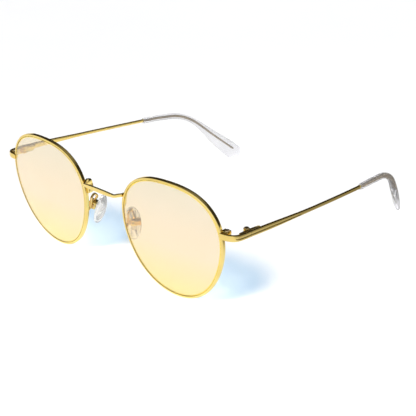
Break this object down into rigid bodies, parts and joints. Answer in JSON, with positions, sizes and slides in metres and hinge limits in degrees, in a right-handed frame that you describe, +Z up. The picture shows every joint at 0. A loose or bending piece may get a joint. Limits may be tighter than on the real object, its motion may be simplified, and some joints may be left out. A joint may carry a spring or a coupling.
{
  "type": "glasses",
  "caption": "Round metal blue light glasses with tinted lenses, folding temples, clear tips and clear rocking nose pads.",
  "frame": {"origin": "under the middle of the glasses, on the surface that the open glasses stand on", "axes": "+Z up, -Y out of the front, +X towards the wearer's left, temples along +Y"},
  "size_m": [0.1306, 0.1454, 0.0481],
  "materials": {
    "polished_gold": "gloss",
    "gold_wire": "gloss",
    "pad_insert": "satin",
    "screw_metal": "satin",
    "blue_light_lens": "gloss",
    "clear_acetate": "gloss",
    "clear_silicone": "satin"
  },
  "bodies": {
    "front": {"bridge": "polished_gold", "left_eyewire": "polished_gold", "left_lens": "blue_light_lens", "left_closing_block_upper": "polished_gold", "left_closing_block_lower": "polished_gold", "left_closing_screw": "screw_metal", "left_endpiece": "polished_gold", "left_pad_arm": "gold_wire", "left_pad_box": "polished_gold", "left_pad_screw": "screw_metal", "left_front_hinge": "polished_gold", "left_hinge_screw": "screw_metal", "right_eyewire": "polished_gold", "right_lens": "blue_light_lens", "right_closing_block_upper": "polished_gold", "right_closing_block_lower": "polished_gold", "right_closing_screw": "screw_metal", "right_endpiece": "polished_gold", "right_pad_arm": "gold_wire", "right_pad_box": "polished_gold", "right_pad_screw": "screw_metal", "right_front_hinge": "polished_gold", "right_hinge_screw": "screw_metal"},
    "left_temple_arm": {"left_temple_hinge": "polished_gold", "left_temple": "polished_gold", "left_temple_tip": "clear_acetate"},
    "left_pad": {"left_pad_core": "pad_insert", "left_nose_pad": "clear_silicone"},
    "right_temple_arm": {"right_temple_hinge": "polished_gold", "right_temple": "polished_gold", "right_temple_tip": "clear_acetate"},
    "right_pad": {"right_pad_core": "pad_insert", "right_nose_pad": "clear_silicone"}
  },
  "joints": [
    {"name": "left_temple_fold", "type": "hinge", "parent": "front", "child": "left_temple_arm", "pos_m": [0.06264, -0.05828, 0.03329], "axis": [0, 0, 1], "range_deg": [0, 84]},
    {"name": "right_temple_fold", "type": "hinge", "parent": "front", "child": "right_temple_arm", "pos_m": [-0.06264, -0.05828, 0.03329], "axis": [0, 0, -1], "range_deg": [0, 74]},
    {"name": "left_pad_rock", "type": "hinge", "parent": "front", "child": "left_pad", "pos_m": [0.01202, -0.06333, 0.02362], "axis": [0.4226, 0.9063, 0], "range_deg": [-10, 10]},
    {"name": "right_pad_rock", "type": "hinge", "parent": "front", "child": "right_pad", "pos_m": [-0.01202, -0.06333, 0.02362], "axis": [-0.4226, 0.9063, 0], "range_deg": [-10, 10]}
  ]
}
